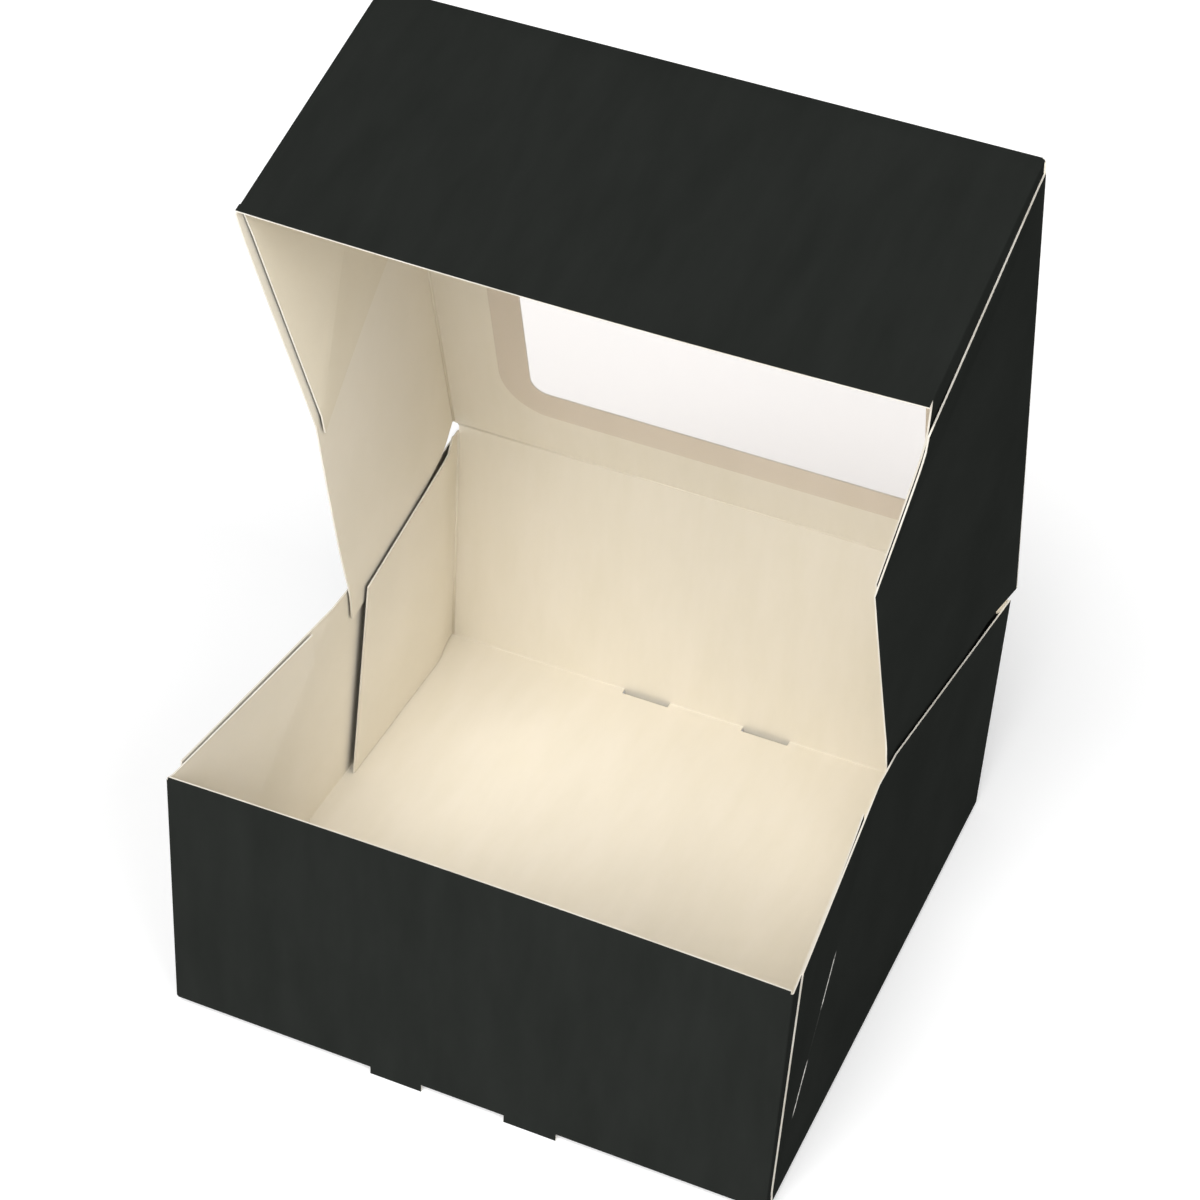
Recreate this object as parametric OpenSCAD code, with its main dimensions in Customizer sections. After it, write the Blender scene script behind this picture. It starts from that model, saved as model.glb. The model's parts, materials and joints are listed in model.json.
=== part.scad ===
// Windowed cake box: a glued folding carton whose full-depth lid is hinged along the back wall.
// The lid is drawn open, as it stands in use. +X is to the box's right, +Y to its back, +Z up.
// The origin is under the middle of the tray, on the surface that its tabs stand on.

/* [Card] */
// Thickness of the card
card = 0.6; // [0.4:0.1:0.8]
// Clearance between the closed lid and the tray
lid_gap = 0.4; // [0.4:0.1:1.5]
// Clearance at the hinge crease
hinge_gap = 0.3; // [0.3:0.1:0.6]

/* [Tray] */
// Width over the side panels
tray_w = 230; // [205:5:280]
// Depth over the front and back walls
tray_d = 231; // [228:1:280]
// Height of the hinge crease above the underside of the floor
wall_h = 108; // [70:1:110]
// How far the middle of each side panel leans in at the hinge's height
side_lean = 9; // [2:0.5:12]
// How far the side panels' rear corners lie below the hinge
side_drop_back = 5; // [2:0.5:12]
// How far the rest of the side panels' top edge lies below the hinge
side_drop_front = 1.4; // [1:0.2:5]
// Setback of the side panels behind the front wall at the top
side_setback_top = 10; // [2:0.5:20]
// Setback of the side panels behind the front wall at the floor
side_setback_floor = 5; // [1:0.5:20]

/* [Tray flaps] */
// Length of the front glue flaps along their top edge
front_flap_top = 91; // [30:1:105]
// Length of the front glue flaps along the floor
front_flap_floor = 103; // [30:1:105]
// Length of the back glue flaps along their top edge
back_flap_top = 101; // [30:1:105]
// Length of the back glue flaps along the floor
back_flap_floor = 96; // [30:1:105]
// How far the back glue flaps' free top corner lies below the hinge
back_flap_drop = 7; // [3:0.5:15]
// Length of the back glue flaps that is glued to the side panels
back_glue_l = 14; // [5:1:25]
// Open pocket between a back glue flap's free edge and the side panel
pocket_gap = 1.8; // [1:0.2:4]
// Length of the slanted relief in a back glue flap beside the hinge
relief_l = 12; // [4:1:20]
// Depth of that relief below the hinge
relief_h = 6; // [2:0.5:10]
// Height of the glue flaps' lower edges above the underside of the floor
flap_rise = 1; // [1:0.2:4]

/* [Stacking tabs] */
// Distance of each tab's middle from the middle of the wall
tab_x = 26; // [15:1:60]
// Width of a tab
tab_w = 20; // [8:1:26]
// Height of a tab below the floor
tab_h = 2.8; // [1.6:0.2:5]

/* [Lid] */
// Angle that the lid is open
lid_open = 73; // [0:1:140]
// Height of the closed front skirt's lower edge above the tray's underside
front_skirt_rise = 1.2; // [0.5:0.1:60]
// Height of the closed side skirts' lower edge above the tray's underside, at the diagonal crease
side_skirt_rise = 2.2; // [0.5:0.1:60]
// Height of the closed side skirts' rear tip above the surface that the box stands on
skirt_tip_rise = 2; // [1:0.5:40]
// Distance of the side skirts' rear tip in front of the hinge
skirt_tip_back = 15; // [5:1:40]
// Setback of the side skirts from the hinge crease
skirt_hinge_back = 1.5; // [1:0.5:4]
// Setback of the side skirts behind the lid's front skirt at the top
skirt_setback_top = 6; // [1:0.5:15]
// Setback of the side skirts behind the lid's front skirt at the lower edge
skirt_setback_low = 14; // [1:0.5:20]
// Length of the lid's glue flaps along the top
lid_flap_top = 98; // [30:1:110]
// Length of the lid's glue flaps along the lower edge
lid_flap_low = 112; // [30:1:120]
// Height of the lid's glue flaps' lower edge above the skirts' lower edge
lid_flap_rise = 3; // [1:0.5:10]
// Width of the pressed diagonal creases
crease_w = 0.8; // [0.4:0.1:1.5]
// Depth of the pressed diagonal creases
crease_t = 0.15; // [0.1:0.05:0.2]

/* [Window] */
// Width of the window
window_w = 158; // [60:1:160]
// Length of the window, hinge to front
window_l = 160; // [60:1:165]
// Distance of the window from the hinge
window_back = 35; // [20:1:50]
// Radius of the window's corners
window_r = 7; // [2:0.5:20]
// Width of the film's glued border
film_border = 13; // [5:1:16]
// Thickness of the window film
film = 0.2; // [0.1:0.05:0.4]

/* [Hidden] */
$fn = 48;
black = "#333534";
clear = [0.95, 0.97, 0.98, 0.3];

// Tray
half_d = tray_d / 2;
wall_w = tray_w - 2 * card;
back_wall_top = wall_h - card / 2 - hinge_gap;
front_wall_top = wall_h - card / 2 - lid_gap;
side_top = wall_h - side_drop_front;
flap_top = side_top - card;

// Hinge and lid
hinge_y = half_d - card / 2;
hinge_z = tab_h + wall_h;
lid_w = tray_w + 2 * (lid_gap + 2 * card);
lid_l = hinge_y + half_d + lid_gap + card;
front_skirt_w = lid_w - 2 * card;
front_skirt_h = wall_h + card / 2 - front_skirt_rise;
side_skirt_h = wall_h + card / 2 - side_skirt_rise;
skirt_tip_h = hinge_z + card / 2 - skirt_tip_rise;

// How far a side panel leans in at a point: not at all along the floor and the upright corners
function lean(y, z) = side_lean / wall_h * min(z, half_d - abs(y));

// How far a back glue flap stands clear of the side panel: nothing along its glued strip
function pocket(y) = pocket_gap * max(0, half_d - back_glue_l - y) / (back_flap_floor - back_glue_l);

// Part of a convex outline on the side of a line where normal * point is at most limit
function cut(outline, normal, limit) = [
    for (i = [0 : len(outline) - 1])
        let (
            p = outline[i],
            q = outline[(i + 1) % len(outline)],
            over_p = normal * p - limit,
            over_q = normal * q - limit
        )
        each concat(
            over_p <= 0 ? [p] : [],
            over_p * over_q < 0 ? [p + (q - p) * over_p / (over_p - over_q)] : []
        )
];

// One flat facet of a side card, from its [y, z] outline, counter-clockwise as seen from outside
module side_facet(outline, inset, open_pocket) {
    n = len(outline);
    outer = [
        for (p = outline)
            [tray_w / 2 - inset - lean(p[0], p[1]) - (open_pocket ? pocket(p[0]) : 0), p[0], p[1]]
    ];
    inner = [for (p = outer) [p[0] - card, p[1], p[2]]];
    if (n > 2)
        polyhedron(
            points = concat(outer, inner),
            faces = concat(
                [[for (i = [n - 1 : -1 : 0]) i]],
                [[for (i = [0 : n - 1]) n + i]],
                [for (i = [0 : n - 1]) [i, (i + 1) % n, n + (i + 1) % n, n + i]]
            )
        );
}

// Right side card, folded along the two diagonal creases that rise from the floor's corners
module side_card(outline, inset = 0, open_pocket = false) {
    side_facet(cut(outline, [-1, -1], -half_d), inset, open_pocket);
    side_facet(cut(cut(outline, [1, 1], half_d), [-1, 1], half_d), inset, open_pocket);
    side_facet(cut(outline, [1, -1], -half_d), inset, open_pocket);
}

// Side panel: two upright corners and the leaning middle between the diagonal creases
module side_panel() {
    side_card([
        [half_d, 0], [half_d, wall_h - side_drop_back], [half_d - side_top, side_top],
        [side_setback_top - half_d, side_top], [side_setback_floor - half_d, 0]
    ]);
}

// Front glue flap, glued flat on the inside of the side panel
module front_flap() {
    side_card([
        [-half_d, flap_rise], [front_flap_floor - half_d, flap_rise],
        [front_flap_top - half_d, flap_top], [-half_d, flap_top]
    ], inset = card);
}

// Back glue flap: glued in a strip beside the back wall, and open like a pocket in front of it
module back_flap() {
    outline = [
        [half_d, flap_rise], [half_d, wall_h - relief_h], [half_d - relief_l, flap_top],
        [half_d - back_flap_top, wall_h - back_flap_drop], [half_d - back_flap_floor, flap_rise]
    ];
    glue_y = half_d - back_glue_l;
    side_card(cut(outline, [-1, 0], -glue_y), inset = card);
    side_card(cut(outline, [1, 0], glue_y), inset = card, open_pocket = true);
}

// Tab that stayed in the wall's plane when the wall was folded up out of the floor
module tab() {
    translate([-tab_w / 2, 0, -tab_h])
        cube([tab_w, card, tab_h + card]);
}

// Gap that a tab leaves in the floor, beside its wall
module tab_slot() {
    translate([-tab_w / 2, card, -card])
        cube([tab_w, tab_h, card * 3]);
}

// Places its children at the two tabs along the front wall and the two along the back wall
module at_tabs() {
    for (turn = [0, 180], side = [-1, 1])
        rotate(turn) translate([side * tab_x, -half_d, 0]) children();
}

// Places its children, drawn for the right side, on both sides
module on_both_sides() {
    children();
    mirror([1, 0, 0]) children();
}

// Tray: floor, front and back walls, side panels, glue flaps and stacking tabs of one folded sheet
module tray() {
    color(black)
    translate([0, 0, tab_h])
    union() {
        difference() {
            translate([-tray_w / 2, -half_d, 0])
                cube([tray_w, tray_d, card]);
            at_tabs() tab_slot();
        }
        translate([-wall_w / 2, -half_d, 0])
            cube([wall_w, card, front_wall_top]);
        translate([-wall_w / 2, half_d - card, 0])
            cube([wall_w, card, back_wall_top]);
        at_tabs() tab();
        on_both_sides() {
            side_panel();
            front_flap();
            back_flap();
        }
    }
}

// Puts its children, drawn with the hinge crease at the origin and the lid closed, at the open lid
module at_lid() {
    translate([0, hinge_y, hinge_z])
        rotate([-lid_open, 0, 0])
            children();
}

// Window's rounded outline, widened by a margin
module window_shape(margin = 0) {
    r = window_r + margin;
    w = window_w + 2 * margin;
    l = window_l + 2 * margin;
    translate([0, -window_back - window_l / 2]) {
        square([w - 2 * r, l], center = true);
        square([w, l - 2 * r], center = true);
        for (x = [-1, 1], y = [-1, 1])
            translate([x * (w / 2 - r), y * (l / 2 - r)])
                circle(r);
    }
}

// Card standing across X, from an outline of [y, z] points
module upright_card(outline) {
    rotate([90, 0, 90])
        linear_extrude(card)
            polygon(outline);
}

// Right side skirt, with its diagonal crease pressed into the outer face
module side_skirt() {
    difference() {
        translate([lid_w / 2 - card, 0, card / 2])
            upright_card([
                [-skirt_hinge_back, 0], [-skirt_tip_back, -skirt_tip_h],
                [side_skirt_h - lid_l, -side_skirt_h],
                [skirt_setback_low - lid_l, -front_skirt_h], [skirt_setback_top - lid_l, 0]
            ]);
        translate([lid_w / 2 - crease_t, -lid_l, card / 2])
            rotate([-45, 0, 0])
                translate([0, 0, -crease_w / 2])
                    cube([card, side_skirt_h * sqrt(2) + card, crease_w]);
    }
}

// Right glue flap of the front skirt, flat on the inside of the side skirt
module lid_flap() {
    translate([front_skirt_w / 2 - card, 0, card / 2])
        upright_card([
            [-lid_l, 0], [-lid_l, lid_flap_rise - front_skirt_h],
            [lid_flap_low - lid_l, lid_flap_rise - side_skirt_h], [lid_flap_top - lid_l, 0]
        ]);
}

// Lid: top with the window cut out, rolled hinge edge, front and side skirts and glue flaps
module lid() {
    color(black)
    at_lid()
    union() {
        difference() {
            translate([-lid_w / 2, -lid_l, -card / 2])
                cube([lid_w, lid_l, card]);
            translate([0, 0, -card])
                linear_extrude(2 * card)
                    window_shape();
        }
        translate([-lid_w / 2, 0, 0])
            rotate([0, 90, 0])
                cylinder(h = lid_w, d = card);
        translate([-front_skirt_w / 2, -lid_l, card / 2 - front_skirt_h])
            cube([front_skirt_w, card, front_skirt_h]);
        on_both_sides() {
            side_skirt();
            lid_flap();
        }
    }
}

// Clear film glued inside the lid's top, over the window
module window_film() {
    color(clear)
    at_lid()
        translate([0, 0, -card / 2 - film])
            linear_extrude(film)
                window_shape(film_border);
}

tray();
lid();
window_film();
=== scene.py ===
"""Windowed cake box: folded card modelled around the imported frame, with its lid open."""

import json
import math

import bmesh
import bpy
from mathutils import Matrix, Vector


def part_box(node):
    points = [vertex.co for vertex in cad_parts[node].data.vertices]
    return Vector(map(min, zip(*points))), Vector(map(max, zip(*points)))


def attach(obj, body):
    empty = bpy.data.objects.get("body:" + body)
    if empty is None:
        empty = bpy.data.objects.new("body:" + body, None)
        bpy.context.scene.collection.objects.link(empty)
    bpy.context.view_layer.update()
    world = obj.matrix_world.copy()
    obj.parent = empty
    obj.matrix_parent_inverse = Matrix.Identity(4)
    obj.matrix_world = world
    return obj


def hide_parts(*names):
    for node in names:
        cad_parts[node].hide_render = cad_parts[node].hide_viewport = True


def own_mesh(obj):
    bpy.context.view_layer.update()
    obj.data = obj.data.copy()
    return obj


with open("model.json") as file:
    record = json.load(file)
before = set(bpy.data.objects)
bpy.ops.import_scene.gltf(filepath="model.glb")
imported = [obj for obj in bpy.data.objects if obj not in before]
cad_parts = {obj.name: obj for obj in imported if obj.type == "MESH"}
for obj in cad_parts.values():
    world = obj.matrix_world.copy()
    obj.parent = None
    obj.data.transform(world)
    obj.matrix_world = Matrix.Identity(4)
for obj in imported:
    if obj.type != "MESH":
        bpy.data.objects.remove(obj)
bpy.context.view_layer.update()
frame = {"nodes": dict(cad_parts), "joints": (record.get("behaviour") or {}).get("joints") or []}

# The two sides and the two ends, by the sign of x and of y
LEFT, RIGHT = SIDES = (-1, 1)
FRONT, BACK = ENDS = (-1, 1)

# Sizes of the card, as the frame's solids have them
MM = 0.001
CARD = 0.6 * MM
TAB_H = 2.8 * MM
TAB_X = 26 * MM
TAB_W = 20 * MM
SIDE_LEAN = 9 * MM
SIDE_DROP_BACK = 5 * MM
SIDE_DROP_FRONT = 1.4 * MM
SIDE_SETBACK_TOP = 10 * MM
SIDE_SETBACK_FLOOR = 5 * MM
FRONT_FLAP_TOP = 91 * MM
FRONT_FLAP_FLOOR = 103 * MM
BACK_FLAP_TOP = 101 * MM
BACK_FLAP_FLOOR = 96 * MM
BACK_FLAP_DROP = 7 * MM
FLAP_RISE = 1 * MM
LID_GAP = 0.4 * MM
FRONT_SKIRT_H = 107.1 * MM
SIDE_SKIRT_H = 106.1 * MM
SKIRT_TIP_H = 109.1 * MM
SKIRT_TIP_BACK = 15 * MM
SKIRT_HINGE_BACK = 1.5 * MM
SKIRT_SETBACK_TOP = 6 * MM
SKIRT_SETBACK_LOW = 14 * MM
LID_FLAP_TOP = 98 * MM
LID_FLAP_LOW = 112 * MM
LID_FLAP_RISE = 3 * MM
WINDOW_W = 158 * MM
WINDOW_L = 160 * MM
WINDOW_BACK = 35 * MM
WINDOW_R = 7 * MM

# Making of the meshes: steps round a fold, a window corner and a bead, the grid that lets a panel
# bend, tolerances, the angle between faces from which an edge stays sharp, and the gap between
# the lid's top and its film
FOLD_R = 0.9 * MM
FOLD_STEPS = 5
WINDOW_STEPS = 8
BEAD_SEGMENTS = 16
GRID = 7 * MM
CUT_TOLERANCE = 1e-7
WELD_TOLERANCE = 1e-6
NUDGE = CARD / 10
SHARP = math.radians(28)
FILM_CLEAR = 0.03 * MM

# The front wall and the front skirt bow: how far at the free edge, and by which power of the
# distance from the fold
WALL_BOW = 1.2 * MM
WALL_BOW_POWER = 2
SKIRT_BOW = 2.2 * MM
SKIRT_BOW_POWER = 1.5

# Side skirts lean in. By side: slope, and the distance from the fold where it sets in. Then the
# slope at the rear tip, and how softly the lean sets in
SKIRT_LEAN = {LEFT: (0.117, 4 * MM), RIGHT: (0.2, 18 * MM)}
SKIRT_LEAN_TIP = 0.0925
SKIRT_LEAN_SOFT = 8 * MM

# How far a side skirt's lower front corner stays back from the lid's front, by side
SKIRT_CORNER_BACK = {LEFT: 2 * MM, RIGHT: SKIRT_SETBACK_LOW}

# A skirt's rear tip is tucked inside the side panel: its clearance there, the height above the
# panel's edge over which that fades, and the distance from the lid's fold over which it sets in
TUCK_CLEAR = 0.9 * MM
TUCK_FADE = 25 * MM
TUCK_START = 18 * MM

# The back flaps stand off the side panels, which makes the pockets that the skirts' rear tips sit
# in: how far, how far from the back wall that starts, and over which length it opens
POCKET_GAP = 2.8 * MM
POCKET_STARTS = 6.5 * MM
POCKET_OPENS = 12 * MM

# The other flaps open too. By side: how far, and for the tray's by which power along the flap.
# Then the length over which the lid's open, and the power of the distance from the fold for all
TRAY_FLAP_OPENS = {LEFT: (0.9 * MM, 0.2), RIGHT: (0.8 * MM, 4)}
LID_FLAP_OPENS = {LEFT: 1.1 * MM, RIGHT: 0.7 * MM}
LID_FLAP_OPENS_L = 12 * MM
FLAP_OPENS_POWER = 3

# Relief at the rear top corner of the back flaps. By side: length and height, the right one as
# the solid has it. Then the shares of its length where its level part and its small step end
RELIEF = {LEFT: (6.5 * MM, 3.5 * MM), RIGHT: (12 * MM, 6 * MM)}
RELIEF_LEVEL = 0.65
RELIEF_STEP = 0.9

# Beads that scoring raises along the inside of the folds
BEAD_R = 0.65 * MM
BEAD_SET = 0.3 * MM
HINGE_BEAD_R = 0.4 * MM

# Card finish: scales and levels of the noises, heights of their bumps, and how uneven the gloss is
MOTTLE_SCALE = 90
MOTTLE_STRETCH = (1, 0.25, 0.25)
MOTTLE_RANGE = (0.3, 0.7)
MOTTLE_H = 0.2 * MM
TOOTH_SCALE = 1800
TOOTH_H = 0.05 * MM
CLOUD_SCALE = 9
GLOSS_SPREAD = 0.05

# Cracked stretches of the front score on the right panel: width, raggedness, colour, and place
# along the wall's height with how white it is there
CRACK_W = 1.2 * MM
CRACK_SCALE = 900
CRACK_RANGE = (0.3, 0.5)
CRACK_COLOR = (250, 248, 242)
CRACK_RUNS = (
    (0, 0), (0.215, 0), (0.235, 0.75), (0.335, 0.95), (0.35, 0), (0.465, 0.04), (0.482, 0.8),
    (0.5, 0.65), (0.58, 0.75), (0.6, 0),
)

# Film finish: tint, haze, and shine when seen straight on and edge on, with how late it rises
# between them. Then the ripple in its gloss
FILM_TINT = (0.99, 0.978, 0.974, 1)
FILM_HAZE = 0.07
FILM_HAZE_COLOR = (240, 233, 226)
FILM_ROUGHNESS = 0.04
FILM_SHINE = (0.015, 0.6)
FILM_SHINE_POWER = 5
RIPPLE_SCALE = 14
RIPPLE_STRENGTH = 0.3
RIPPLE_H = 1.5 * MM

# Studio: floor and sky, then lamps by name, azimuth from the front and elevation in degrees, and
# energy
FLOOR_SIZE = 12
FLOOR_COLOR = (0.9, 0.9, 0.9, 1)
FLOOR_GLOW = 0.25
SKY_LEVEL = 0.15
WHITE = (1, 1, 1, 1)
LAMP_ANGLE = math.radians(40)
LAMPS = (
    ("key", 0, 50, 2.5),
    ("right", 60, 30, 1.35),
    ("left", -30, 15, 0.6),
    ("low", 0, 4, 0.57),
)

# Camera, solved from the photograph's folded corners: angles in degrees, lens in millimetres
CAMERA_AZIMUTH = 21.07
CAMERA_ELEVATION = 38.82
CAMERA_ROLL = 3.76
CAMERA_DISTANCE = 1.0970
CAMERA_TARGET = (-0.0051, 0, 0.1442)
CAMERA_LENS = 93.99
CAMERA_SENSOR = 36

# Places taken from the frame
tray_low, tray_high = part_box("tray")
lid_hinge = next(j for j in frame["joints"] if j["name"] == "lid_hinge")
HINGE = Vector(lid_hinge["pos_m"])
LID_OPEN = math.radians(-min(lid_hinge["range_deg"]))
HALF_W = tray_high.x
HALF_D = -tray_low.y
WALL_H = HINGE.z - TAB_H
INNER_HALF_W = HALF_W - CARD
FRONT_WALL_TOP = HINGE.z - CARD / 2 - LID_GAP
LID_HALF_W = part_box("lid")[1].x
LID_L = HINGE.y + HALF_D + LID_GAP + CARD
LID_TOP = -CARD / 2

X, Y, Z = Vector((1, 0, 0)), Vector((0, 1, 0)), Vector((0, 0, 1))


# Card surfaces

class Sheet:
    """The outer surface of one folded sheet, which gets the card's thickness at the end."""

    def __init__(self):
        self.bm = bmesh.new()

    def add(self, points, outward, finish=0):
        """One flat panel, with its outer side turned outward."""
        face = self.bm.faces.new([self.bm.verts.new(p) for p in points])
        face.material_index = finish
        face.normal_update()
        if face.normal.dot(outward) < 0:
            face.normal_flip()

    def fold(self, start, end, from_panel, to_panel):
        """Rounded fold along the corner line start to end, between panels that run off it."""
        def arc(corner):
            centre = corner + FOLD_R * (from_panel + to_panel)
            turns = [math.pi / 2 * i / FOLD_STEPS for i in range(FOLD_STEPS + 1)]
            return [
                centre - FOLD_R * (math.sin(t) * from_panel + math.cos(t) * to_panel)
                for t in turns
            ]
        for a, b in pairs(list(zip(arc(start), arc(end)))):
            self.add([a[0], b[0], b[1], a[1]], -(from_panel + to_panel))

    def slice(self, normal, offsets):
        """Cuts edges into the sheet along parallel planes."""
        for offset in offsets:
            geometry = self.bm.verts[:] + self.bm.edges[:] + self.bm.faces[:]
            bmesh.ops.bisect_plane(
                self.bm, geom=geometry, dist=CUT_TOLERANCE, plane_co=normal * offset,
                plane_no=normal)

    def slice_grid(self):
        """Cuts the sheet fine enough to bend."""
        for normal in (X, Y, Z):
            reach = [v.co.dot(normal) for v in self.bm.verts]
            first = math.ceil(min(reach) / GRID)
            last = math.floor(max(reach) / GRID)
            self.slice(normal, [GRID * i for i in range(first, last + 1)])

    def weld(self):
        """Joins the panels where their edges meet."""
        bmesh.ops.remove_doubles(self.bm, verts=self.bm.verts[:], dist=WELD_TOLERANCE)

    def bend(self, move):
        """Moves each point to where move puts it."""
        for v in self.bm.verts:
            v.co = move(v.co)

    def piece(self, name, place=None, thickness=CARD):
        """The sheet as an object with the card's thickness, its inside and its cut edges."""
        mesh = bpy.data.meshes.new(name)
        self.bm.to_mesh(mesh)
        self.bm.free()
        if place is not None:
            mesh.transform(place)
        obj = bpy.data.objects.new(name, mesh)
        bpy.context.scene.collection.objects.link(obj)
        for material in CARD_FINISH + FLAP_FINISH_WITH_PAINTED_SHADE:
            mesh.materials.append(material)
        thick = obj.modifiers.new("Thickness", "SOLIDIFY")
        thick.thickness = thickness
        thick.offset = -1
        thick.use_even_offset = True
        thick.material_offset = 1
        thick.material_offset_rim = 2
        return finished(obj)


def pairs(items):
    return zip(items, items[1:])


def finished(obj):
    """Applies the modifiers, and smooths all but the sharp edges."""
    bpy.context.view_layer.update()
    shown = obj.evaluated_get(bpy.context.evaluated_depsgraph_get())
    mesh = bpy.data.meshes.new_from_object(shown)
    obj.modifiers.clear()
    obj.data = mesh
    mesh.name = obj.name
    bm = bmesh.new()
    bm.from_mesh(mesh)
    for face in bm.faces:
        face.smooth = True
    for edge in bm.edges:
        edge.smooth = len(edge.link_faces) == 2 and edge.calc_face_angle(0) < SHARP
    bm.to_mesh(mesh)
    bm.free()
    return obj


# Materials

def new_material(name):
    material = bpy.data.materials.new(name)
    material.use_nodes = True
    material.node_tree.nodes.clear()
    return material


class Nodes:
    """Short names for the few shader nodes that the materials use."""

    def __init__(self, owner):
        self.tree = owner.node_tree

    def new(self, kind, **values):
        node = self.tree.nodes.new(kind)
        for key, value in values.items():
            if key in node.inputs:
                node.inputs[key].default_value = value
            else:
                setattr(node, key, value)
        return node

    def link(self, output, target):
        self.tree.links.new(output, target)

    def noise(self, coordinates, scale, detail=4.0, stretch=(1, 1, 1)):
        spread = self.new("ShaderNodeMapping")
        spread.inputs["Scale"].default_value = stretch
        self.link(coordinates, spread.inputs["Vector"])
        noise = self.new("ShaderNodeTexNoise", Scale=scale, Detail=detail, Roughness=0.6)
        self.link(spread.outputs["Vector"], noise.inputs["Vector"])
        return noise.outputs["Fac"]

    def ramp(self, value, low, high, colors):
        ramp = self.new("ShaderNodeValToRGB")
        for element, place, color in zip(ramp.color_ramp.elements, (low, high), colors):
            element.position = place
            element.color = (*color, 1)
        self.link(value, ramp.inputs["Fac"])
        return ramp.outputs["Color"]

    def remap(self, value, low, high):
        """From low where the value is 0 to high where it is 1."""
        node = self.new("ShaderNodeMapRange")
        node.inputs["To Min"].default_value = low
        node.inputs["To Max"].default_value = high
        self.link(value, node.inputs["Value"])
        return node.outputs["Result"]

    def seen(self, hidden, shown):
        """The hidden level, or the shown one where a camera, mirrored or transmitted ray looks."""
        rays = self.new("ShaderNodeLightPath").outputs
        mirrored = self.math("MAXIMUM", rays["Is Glossy Ray"], rays["Is Transmission Ray"])
        looks = self.math("MAXIMUM", rays["Is Camera Ray"], mirrored)
        return self.remap(looks, hidden, shown)

    def math(self, operation, *values):
        node = self.new("ShaderNodeMath", operation=operation)
        for socket, value in zip(node.inputs, values):
            if isinstance(value, (int, float)):
                socket.default_value = value
            else:
                self.link(value, socket)
        return node.outputs["Value"]

    def band(self, value, low, high):
        """From 0 at low to 1 at high, low being either the smaller or the larger value."""
        node = self.new("ShaderNodeMapRange")
        node.inputs["From Min"].default_value = low
        node.inputs["From Max"].default_value = high
        self.link(value, node.inputs["Value"])
        return node.outputs["Result"]

    def bump(self, height, strength, distance, under=None):
        node = self.new("ShaderNodeBump", Strength=strength, Distance=distance)
        self.link(height, node.inputs["Height"])
        if under is not None:
            self.link(under, node.inputs["Normal"])
        return node.outputs["Normal"]

    def mix(self, share, first, second):
        """Shader that is the first where the share is 0 and the second where it is 1."""
        node = self.new("ShaderNodeMixShader")
        if isinstance(share, (int, float)):
            node.inputs["Fac"].default_value = share
        else:
            self.link(share, node.inputs["Fac"])
        self.link(first, node.inputs[1])
        self.link(second, node.inputs[2])
        return node.outputs["Shader"]

    def surface(self, shader):
        """Makes the shader the material's surface."""
        self.link(shader, self.new("ShaderNodeOutputMaterial").inputs["Surface"])


def srgb(r, g, b):
    """Linear colour of an 8-bit screen colour."""
    return tuple(
        c / 255 / 12.92 if c <= 10 else ((c / 255 + 0.055) / 1.055) ** 2.4 for c in (r, g, b)
    )


def card_surface(name, light, dark, roughness, specular, grain, pores, cracks=False):
    """Card with fibre mottling along its grain, a fine tooth and an uneven finish.

    grain and pores are the strengths of the tooth's and the mottling's bumps.
    """
    material = new_material(name)
    n = Nodes(material)
    place = n.new("ShaderNodeTexCoord").outputs["Object"]
    mottle = n.noise(place, MOTTLE_SCALE, 5, MOTTLE_STRETCH)
    tooth = n.noise(place, TOOTH_SCALE, 3)
    cloud = n.noise(place, CLOUD_SCALE, 2)
    shader = n.new("ShaderNodeBsdfPrincipled")
    shader.inputs["Specular IOR Level"].default_value = specular
    color = n.ramp(mottle, *MOTTLE_RANGE, (dark, light))
    if cracks:
        mix = n.new("ShaderNodeMix", data_type="RGBA")
        n.link(score_cracks(n, place), mix.inputs["Factor"])
        n.link(color, mix.inputs["A"])
        mix.inputs["B"].default_value = (*srgb(*CRACK_COLOR), 1)
        color = mix.outputs["Result"]
    n.link(color, shader.inputs["Base Color"])
    gloss = n.remap(cloud, roughness - GLOSS_SPREAD, roughness + GLOSS_SPREAD)
    n.link(gloss, shader.inputs["Roughness"])
    normal = n.bump(tooth, grain, TOOTH_H)
    normal = n.bump(mottle, pores, MOTTLE_H, under=normal)
    n.link(normal, shader.inputs["Normal"])
    n.surface(shader.outputs["BSDF"])
    return material


def score_cracks(n, place):
    """Where the black has cracked along the front diagonal score of the right panel."""
    axes = n.new("ShaderNodeSeparateXYZ")
    n.link(place, axes.inputs["Vector"])
    height = n.math("SUBTRACT", axes.outputs["Z"], TAB_H)
    inset = n.math("ADD", axes.outputs["Y"], HALF_D)
    on_score = n.band(n.math("ABSOLUTE", n.math("SUBTRACT", inset, height)), CRACK_W, CRACK_W / 2)
    runs = n.new("ShaderNodeValToRGB")
    while len(runs.color_ramp.elements) < len(CRACK_RUNS):
        runs.color_ramp.elements.new(1)
    for element, (share, level) in zip(runs.color_ramp.elements, CRACK_RUNS):
        element.position = share
        element.color = (level, level, level, 1)
    n.link(n.math("DIVIDE", height, WALL_H), runs.inputs["Fac"])
    on_right = n.math("GREATER_THAN", axes.outputs["X"], INNER_HALF_W / 2)
    ragged = n.band(n.noise(place, CRACK_SCALE, 2), *CRACK_RANGE)
    marks = n.math("MULTIPLY", on_score, runs.outputs["Color"])
    return n.math("MULTIPLY", n.math("MULTIPLY", marks, on_right), ragged)


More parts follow.
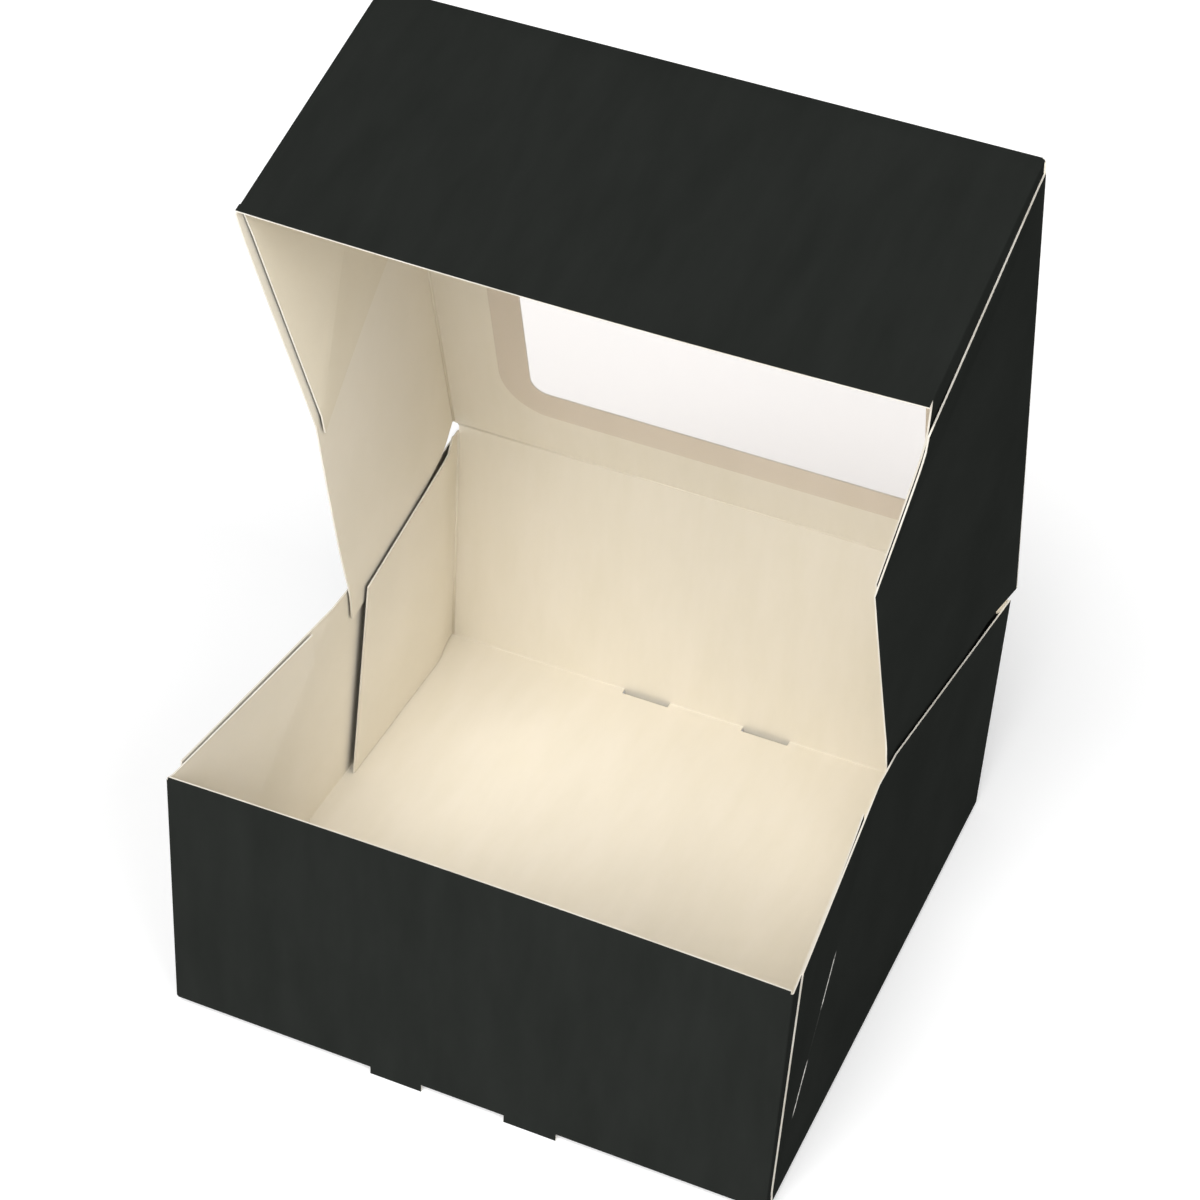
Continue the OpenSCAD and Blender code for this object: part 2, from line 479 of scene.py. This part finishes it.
def clear_film():
    """Thin clear film: what is behind shows through, and the lights show in its gloss."""
    material = new_material("clear_film")
    n = Nodes(material)
    place = n.new("ShaderNodeTexCoord").outputs["Object"]
    through = n.new("ShaderNodeBsdfTransparent", Color=FILM_TINT)
    haze = n.new("ShaderNodeBsdfDiffuse", Color=(*srgb(*FILM_HAZE_COLOR), 1))
    gloss = n.new("ShaderNodeBsdfGlossy", Roughness=FILM_ROUGHNESS)
    facing = n.new("ShaderNodeLayerWeight", Blend=0.5)
    ripple = n.bump(n.noise(place, RIPPLE_SCALE, 2), RIPPLE_STRENGTH, RIPPLE_H)
    n.link(ripple, gloss.inputs["Normal"])
    n.link(ripple, facing.inputs["Normal"])
    shine = n.remap(n.math("POWER", facing.outputs["Facing"], FILM_SHINE_POWER), *FILM_SHINE)
    body = n.mix(FILM_HAZE, through.outputs["BSDF"], haze.outputs["BSDF"])
    n.surface(n.mix(shine, body, gloss.outputs["BSDF"]))
    return material


card_black = card_surface(
    "card_black", light=srgb(38, 40, 38), dark=srgb(34, 36, 34), roughness=0.6, specular=0,
    grain=0.1, pores=0.05, cracks=True)
card_inside = card_surface(
    "card_inside", light=srgb(236, 229, 215), dark=srgb(232, 225, 209), roughness=0.8,
    specular=0.1, grain=0.2, pores=0.15)
# Inside of the lid's glue flaps: the same cream card painted a little darker, as painted shade
card_flap_painted_shade = card_surface(
    "card_flap_painted_shade", light=srgb(231, 223, 204), dark=srgb(227, 218, 198), roughness=0.8,
    specular=0.1, grain=0.2, pores=0.15)
card_edge = card_surface(
    "card_edge", light=srgb(240, 236, 226), dark=srgb(220, 213, 200), roughness=0.9,
    specular=0.1, grain=0.3, pores=0.3)

# Outside, inside and cut edges of a sheet, and of the lid's glue flaps, a little darker as painted
# shade
CARD_FINISH = (card_black, card_inside, card_edge)
FLAP_FINISH_WITH_PAINTED_SHADE = (card_black, card_flap_painted_shade, card_edge)


# Tray

def panel_lean(y, z):
    """How far in a side panel leans at a place: two creases run up from the floor's corners."""
    return SIDE_LEAN / WALL_H * max(0, min(z, HALF_D - abs(y)))


def side_top_at(y):
    """Height of a side panel's top edge above the floor."""
    bend_y = HALF_D - WALL_H + SIDE_DROP_FRONT
    drop = (SIDE_DROP_BACK - SIDE_DROP_FRONT) * max(0, y - bend_y) / (HALF_D - bend_y)
    return WALL_H - SIDE_DROP_FRONT - drop


def tray_lean(p):
    """Leans the side panels and their flaps in, opens the flaps and bows the front wall."""
    side = math.copysign(1, p.x)
    z = p.z - TAB_H
    lean = panel_lean(p.y, z)
    on_flap = abs(p.x) < HALF_W - CARD / 2 and z > FLAP_RISE - NUDGE
    if on_flap and 0 < p.y < HALF_D - FOLD_R - NUDGE:
        lean += POCKET_GAP * min(1, max(0, HALF_D - POCKET_STARTS - p.y) / POCKET_OPENS)
    elif on_flap and -HALF_D + FOLD_R + NUDGE < p.y < 0:
        reach, spread = TRAY_FLAP_OPENS[side]
        along = min(1, (p.y + HALF_D - FOLD_R) / (FRONT_FLAP_TOP - FOLD_R))
        lean += reach * along ** spread * (z / WALL_H) ** FLAP_OPENS_POWER
    bow = WALL_BOW * (1 - (p.x / HALF_W) ** 2) * max(0, z / WALL_H) ** WALL_BOW_POWER
    on_front = p.y < -HALF_D + FOLD_R / 2
    return Vector((p.x - side * lean, p.y + (bow if on_front else 0), p.z))


def tray_card():
    """Floor, end walls, side panels and glue flaps as one folded sheet."""
    sheet = Sheet()
    low = TAB_H
    wall_low = low + FOLD_R
    wall_x = INNER_HALF_W - FOLD_R
    tab_edges = (TAB_X - TAB_W / 2, TAB_X + TAB_W / 2)
    slot_y = HALF_D - CARD - TAB_H
    floor_x = HALF_W - FOLD_R
    floor_y = HALF_D - FOLD_R
    side_top = low + WALL_H - SIDE_DROP_FRONT

    # Floor, with the gaps that the tabs leave along its front and back
    sheet.add([(x, y, low) for x, y in (
        (-floor_x, -slot_y), (floor_x, -slot_y), (floor_x, slot_y), (-floor_x, slot_y))], -Z)
    spans = (
        (-floor_x, -tab_edges[1]), (-tab_edges[0], tab_edges[0]), (tab_edges[1], floor_x)
    )
    for end in ENDS:
        for x0, x1 in spans:
            sheet.add([(x, end * y, low) for x, y in (
                (x0, slot_y), (x1, slot_y), (x1, floor_y), (x0, floor_y))], -Z)
            sheet.fold(
                Vector((max(x0, -wall_x), end * HALF_D, low)),
                Vector((min(x1, wall_x), end * HALF_D, low)), -end * Y, Z)
        for side in SIDES:
            x0, x1 = side * tab_edges[0], side * tab_edges[1]
            sheet.add([(x, end * HALF_D, z) for x, z in (
                (x0, 0), (x1, 0), (x1, wall_low), (x0, wall_low))], end * Y)

    # End walls
    for end, top in ((FRONT, FRONT_WALL_TOP), (BACK, HINGE.z)):
        sheet.add([(x, end * HALF_D, z) for x, z in (
            (-wall_x, wall_low), (wall_x, wall_low), (wall_x, top), (-wall_x, top))], end * Y)

    for side in SIDES:
        # Side panel
        outline = (
            (floor_y, wall_low), (floor_y, low + WALL_H - SIDE_DROP_BACK),
            (HALF_D - WALL_H + SIDE_DROP_FRONT, side_top), (SIDE_SETBACK_TOP - HALF_D, side_top),
            (SIDE_SETBACK_FLOOR - HALF_D, wall_low),
        )
        sheet.add([(side * HALF_W, y, z) for y, z in outline], side * X)
        sheet.fold(
            Vector((side * HALF_W, SIDE_SETBACK_FLOOR - HALF_D, low)),
            Vector((side * HALF_W, floor_y, low)), -side * X, Z)

        # Front glue flap
        flap_low = low + FLAP_RISE
        flap_top = side_top - CARD
        outline = (
            (-floor_y, flap_low), (FRONT_FLAP_FLOOR - HALF_D, flap_low),
            (FRONT_FLAP_TOP - HALF_D, flap_top), (-floor_y, flap_top),
        )
        sheet.add([(side * INNER_HALF_W, y, z) for y, z in outline], side * X)
        sheet.fold(
            Vector((side * INNER_HALF_W, -HALF_D, flap_low)),
            Vector((side * INNER_HALF_W, -HALF_D, flap_top)), -side * X, Y)

        # Back glue flap
        relief_l, relief_h = RELIEF[side]
        relief_z = low + WALL_H - relief_h
        outline = (
            (floor_y, flap_low), (floor_y, relief_z),
            (HALF_D - RELIEF_LEVEL * relief_l, relief_z),
            (HALF_D - RELIEF_STEP * relief_l, relief_z + CARD),
            (HALF_D - relief_l, flap_top - CARD),
            (HALF_D - BACK_FLAP_TOP, low + WALL_H - BACK_FLAP_DROP),
            (HALF_D - BACK_FLAP_FLOOR, flap_low),
        )
        sheet.add([(side * INNER_HALF_W, y, z) for y, z in outline], side * X)
        sheet.fold(
            Vector((side * INNER_HALF_W, HALF_D, flap_low)),
            Vector((side * INNER_HALF_W, HALF_D, relief_z)), -side * X, -Y)

    sheet.slice(X, [side * x for side in SIDES for x in (*tab_edges, wall_x)])
    sheet.slice(Y, [end * slot_y for end in ENDS])
    sheet.slice(Z, [flap_low, flap_top] + [low + WALL_H - RELIEF[side][1] for side in SIDES])
    for end in ENDS:
        crease = Vector((0, end, 1)).normalized()
        sheet.slice(crease, [Vector((0, end * HALF_D, low)).dot(crease)])
    sheet.slice_grid()
    sheet.weld()
    sheet.bend(tray_lean)
    piece = sheet.piece("tray_card")
    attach(piece, "tray")
    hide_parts("tray")


# Lid, drawn with the hinge crease at the origin, y forward to the lid's front and z down

def lid_place():
    """From the lid's own frame (across, along from the hinge, depth) to the open lid."""
    along = Vector((0, -math.cos(LID_OPEN), math.sin(LID_OPEN)))
    depth = Vector((0, -math.sin(LID_OPEN), -math.cos(LID_OPEN)))
    turn = Matrix((X, along, depth)).transposed().to_4x4()
    return Matrix.Translation(HINGE) @ turn


def window_outline():
    """Points around the window, from its right edge on."""
    points = []
    corner_x = WINDOW_W / 2 - WINDOW_R
    corner_y = WINDOW_L / 2 - WINDOW_R
    middle = WINDOW_BACK + WINDOW_L / 2
    for quarter, (sx, sy) in enumerate(((1, 1), (-1, 1), (-1, -1), (1, -1))):
        for i in range(WINDOW_STEPS + 1):
            t = math.pi / 2 * (quarter + i / WINDOW_STEPS)
            points.append((
                sx * corner_x + WINDOW_R * math.cos(t),
                middle + sy * corner_y + WINDOW_R * math.sin(t),
            ))
    return points


def ride_lid(piece):
    """Says that the piece stands for the lid's solid and moves with it."""
    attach(piece, "lid")
    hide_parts("lid")
    return piece


def lid_top():
    """Top with its window hole, thinner than the card by what keeps it clear of the film."""
    sheet = Sheet()
    x = LID_HALF_W - FOLD_R
    y = LID_L - FOLD_R
    rim = [(-x, 0), (x, 0), (x, y), (-x, y)]
    hole = window_outline()
    edges = []
    for loop in (rim, hole):
        verts = [sheet.bm.verts.new((px, py, LID_TOP)) for px, py in loop]
        edges += [sheet.bm.edges.new(pair) for pair in zip(verts, verts[1:] + verts[:1])]
    bmesh.ops.triangle_fill(sheet.bm, edges=edges, use_beauty=True, normal=-Z)
    for face in sheet.bm.faces:
        face.normal_update()
        if face.normal.z > 0:
            face.normal_flip()
    for side in SIDES:
        sheet.fold(
            Vector((side * LID_HALF_W, SKIRT_HINGE_BACK, LID_TOP)),
            Vector((side * LID_HALF_W, LID_L - SKIRT_SETBACK_TOP, LID_TOP)), -side * X, Z)
    sheet.slice(Y, [SKIRT_HINGE_BACK, LID_L - SKIRT_SETBACK_TOP])
    sheet.slice_grid()
    sheet.weld()
    ride_lid(sheet.piece("lid_top", lid_place(), CARD - FILM_CLEAR))


def lid_front():
    """Front skirt with the folds to its glue flaps, bowed inwards at its free edge."""
    sheet = Sheet()
    x = LID_HALF_W - CARD - FOLD_R
    high = LID_TOP + FOLD_R
    low = LID_TOP + FRONT_SKIRT_H
    sheet.add([(px, LID_L, pz) for px, pz in ((-x, high), (x, high), (x, low), (-x, low))], Y)
    sheet.fold(Vector((-x, LID_L, LID_TOP)), Vector((x, LID_L, LID_TOP)), -Y, Z)
    for side in SIDES:
        corner_x = side * (LID_HALF_W - CARD)
        sheet.fold(
            Vector((corner_x, LID_L, high)),
            Vector((corner_x, LID_L, low - LID_FLAP_RISE)), -side * X, -Y)
        sheet.add([(px, LID_L, pz) for px, pz in (
            (side * x, low - LID_FLAP_RISE), (corner_x, low - LID_FLAP_RISE),
            (corner_x, low), (side * x, low))], Y)
    sheet.slice(Z, [low - LID_FLAP_RISE])
    sheet.slice_grid()
    sheet.weld()

    def bow(p):
        depth = max(0, (p.z - LID_TOP) / FRONT_SKIRT_H)
        inward = SKIRT_BOW * (1 - (p.x / x) ** 2) * depth ** SKIRT_BOW_POWER
        return Vector((p.x, p.y - max(0, inward), p.z))

    sheet.bend(bow)
    place = lid_place()
    piece = ride_lid(sheet.piece("lid_front", place))
    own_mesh(piece)


def skirt_lean(side, a, b):
    """How far in a side skirt leans, a from the hinge and b below the lid's top."""
    slope, start = SKIRT_LEAN[side]

    def leaning(distance):
        soft = (distance - start + math.hypot(distance - start, SKIRT_LEAN_SOFT)) / 2
        level = (math.hypot(start, SKIRT_LEAN_SOFT) - start) / 2
        return slope * (soft - level)

    rear = SKIRT_TIP_BACK * b / SKIRT_TIP_H
    behind = min(1, max(0, (LID_L - b - a) / (LID_L - b - rear)))
    lean = leaning(min(b, LID_L - a))
    lean += (SKIRT_LEAN_TIP * b - lean) * behind

    # Below the tray's top edge, the skirt lies just inside the tray's side panel
    y = HINGE.y - a * math.cos(LID_OPEN) - b * math.sin(LID_OPEN)
    z = WALL_H + a * math.sin(LID_OPEN) - b * math.cos(LID_OPEN)
    top = side_top_at(y)
    tucked = LID_HALF_W - INNER_HALF_W + TUCK_CLEAR + panel_lean(y, min(z, top))
    held = math.exp(-max(0, z - top) / TUCK_FADE) * min(1, b / TUCK_START)
    return lean + held * max(0, tucked - lean)


def lid_side(side, name):
    """Side skirt with the front skirt's glue flap on its inside. Both lean in."""
    sheet = Sheet()
    high = LID_TOP + FOLD_R
    outline = (
        (SKIRT_HINGE_BACK, high), (SKIRT_TIP_BACK, LID_TOP + SKIRT_TIP_H),
        (LID_L - SIDE_SKIRT_H, LID_TOP + SIDE_SKIRT_H),
        (LID_L - SKIRT_CORNER_BACK[side], LID_TOP + FRONT_SKIRT_H),
        (LID_L - SKIRT_SETBACK_TOP, high),
    )
    sheet.add([(side * LID_HALF_W, y, z) for y, z in outline], side * X)
    outline = (
        (LID_L - LID_FLAP_TOP, high),
        (LID_L - LID_FLAP_LOW, LID_TOP + SIDE_SKIRT_H - LID_FLAP_RISE),
        (LID_L - FOLD_R, LID_TOP + FRONT_SKIRT_H - LID_FLAP_RISE),
        (LID_L - FOLD_R, high),
    )
    flap_x = side * (LID_HALF_W - CARD)
    # The flap's inside takes the darker card, which is painted shade
    sheet.add([(flap_x, y, z) for y, z in outline], side * X, len(CARD_FINISH))
    crease = Vector((0, 1, 1)).normalized()
    sheet.slice(crease, [Vector((0, LID_L, LID_TOP)).dot(crease)])
    sheet.slice_grid()
    sheet.weld()

    def lean(p):
        depth = p.z - LID_TOP
        inward = skirt_lean(side, p.y, depth)
        if abs(p.x) < LID_HALF_W - CARD / 2:
            along = min(1, (LID_L - FOLD_R - p.y) / LID_FLAP_OPENS_L)
            opens = max(0, depth / FRONT_SKIRT_H) ** FLAP_OPENS_POWER
            inward += LID_FLAP_OPENS[side] * along * opens
        return Vector((p.x - side * inward, p.y, p.z))

    sheet.bend(lean)
    piece = ride_lid(sheet.piece(name, lid_place()))
    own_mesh(piece)


def beads(name, body, runs):
    """The raised beads that scoring leaves along the inside of the folds: start, end, radius."""
    bm = bmesh.new()
    for start, end, radius in runs:
        along = end - start
        turn = along.to_track_quat("Z", "Y").to_matrix().to_4x4()
        bmesh.ops.create_cone(
            bm, cap_ends=True, segments=BEAD_SEGMENTS, radius1=radius, radius2=radius,
            depth=along.length, matrix=Matrix.Translation((start + end) / 2) @ turn)
    mesh = bpy.data.meshes.new(name)
    for face in bm.faces:
        face.smooth = len(face.verts) == 4
    bm.to_mesh(mesh)
    bm.free()
    mesh.materials.append(card_inside)
    piece = bpy.data.objects.new(name, mesh)
    bpy.context.scene.collection.objects.link(piece)
    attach(piece, body)


def tray_beads():
    """Along the hinge crease, and up the back wall's two corners."""
    left, right = (
        Vector((side * (INNER_HALF_W - CARD), HINGE.y - CARD / 2, HINGE.z - CARD / 4))
        for side in SIDES
    )
    runs = [(left, right, HINGE_BEAD_R)]
    for side in SIDES:
        x = side * (INNER_HALF_W - CARD - BEAD_SET)
        y = HALF_D - CARD - BEAD_SET
        runs.append((
            Vector((x, y, TAB_H + CARD + BEAD_R)),
            Vector((x, y, TAB_H + WALL_H - RELIEF[side][1] - BEAD_R)), BEAD_R))
    beads("tray_beads", "tray", runs)


def lid_beads():
    """Along the folds between the lid's top and its side skirts."""
    place = lid_place()
    runs = []
    for side in SIDES:
        x = side * (LID_HALF_W - CARD - BEAD_SET)
        z = CARD / 2 + BEAD_SET
        start = place @ Vector((x, SKIRT_HINGE_BACK, z))
        end = place @ Vector((x, LID_L - CARD - BEAD_R, z))
        runs.append((start, end, BEAD_R))
    beads("lid_beads", "lid", runs)


# Studio

def studio():
    """Pale floor and soft lamps, with most of the light from the front."""
    bpy.ops.mesh.primitive_plane_add(size=FLOOR_SIZE, location=(0, 0, 0))
    floor = bpy.context.object
    floor.name = "studio_floor"
    material = new_material("studio_floor")
    n = Nodes(material)
    paint = n.new("ShaderNodeBsdfDiffuse", Color=FLOOR_COLOR)
    glow = n.new("ShaderNodeEmission", Color=WHITE)
    n.link(n.seen(0, FLOOR_GLOW), glow.inputs["Strength"])
    both = n.new("ShaderNodeAddShader")
    n.link(paint.outputs["BSDF"], both.inputs[0])
    n.link(glow.outputs["Emission"], both.inputs[1])
    n.surface(both.outputs["Shader"])
    floor.data.materials.append(material)

    world = bpy.data.worlds.new("studio")
    world.use_nodes = True
    bpy.context.scene.world = world
    n = Nodes(world)
    background = n.tree.nodes["Background"]
    background.inputs["Color"].default_value = WHITE
    n.link(n.seen(SKY_LEVEL, 1), background.inputs["Strength"])

    for name, azimuth, elevation, energy in LAMPS:
        data = bpy.data.lights.new(name, "SUN")
        data.energy = energy
        data.angle = LAMP_ANGLE
        lamp = bpy.data.objects.new(name, data)
        lamp.rotation_euler = direction(azimuth, elevation).to_track_quat("Z", "Y").to_euler()
        bpy.context.scene.collection.objects.link(lamp)


def direction(azimuth, elevation):
    """Unit vector towards a place around the box: azimuth in degrees from the front."""
    a, e = math.radians(azimuth), math.radians(elevation)
    return Vector((math.sin(a) * math.cos(e), -math.cos(a) * math.cos(e), math.sin(e)))


def camera():
    """Camera at the photograph's viewing angle."""
    roll = math.radians(CAMERA_ROLL)
    back = direction(CAMERA_AZIMUTH, CAMERA_ELEVATION)
    right = Z.cross(back).normalized()
    up = back.cross(right)
    right, up = (
        math.cos(roll) * right + math.sin(roll) * up,
        -math.sin(roll) * right + math.cos(roll) * up,
    )
    data = bpy.data.cameras.new("camera")
    data.sensor_width = CAMERA_SENSOR
    data.lens = CAMERA_LENS
    obj = bpy.data.objects.new("camera", data)
    turn = Matrix((right, up, back)).transposed().to_4x4()
    eye = Vector(CAMERA_TARGET) + CAMERA_DISTANCE * back
    obj.matrix_world = Matrix.Translation(eye) @ turn
    bpy.context.scene.collection.objects.link(obj)
    bpy.context.scene.camera = obj


def dress_film():
    """The window film keeps its solid, and gets the clear finish."""
    film = frame["nodes"]["window_film"]
    film.data.materials.clear()
    film.data.materials.append(clear_film())


camera()
studio()
tray_card()
tray_beads()
lid_beads()
lid_top()
lid_front()
lid_side(LEFT, "lid_side_left")
lid_side(RIGHT, "lid_side_right")
dress_film()
bpy.context.scene.view_settings.view_transform = "Standard"
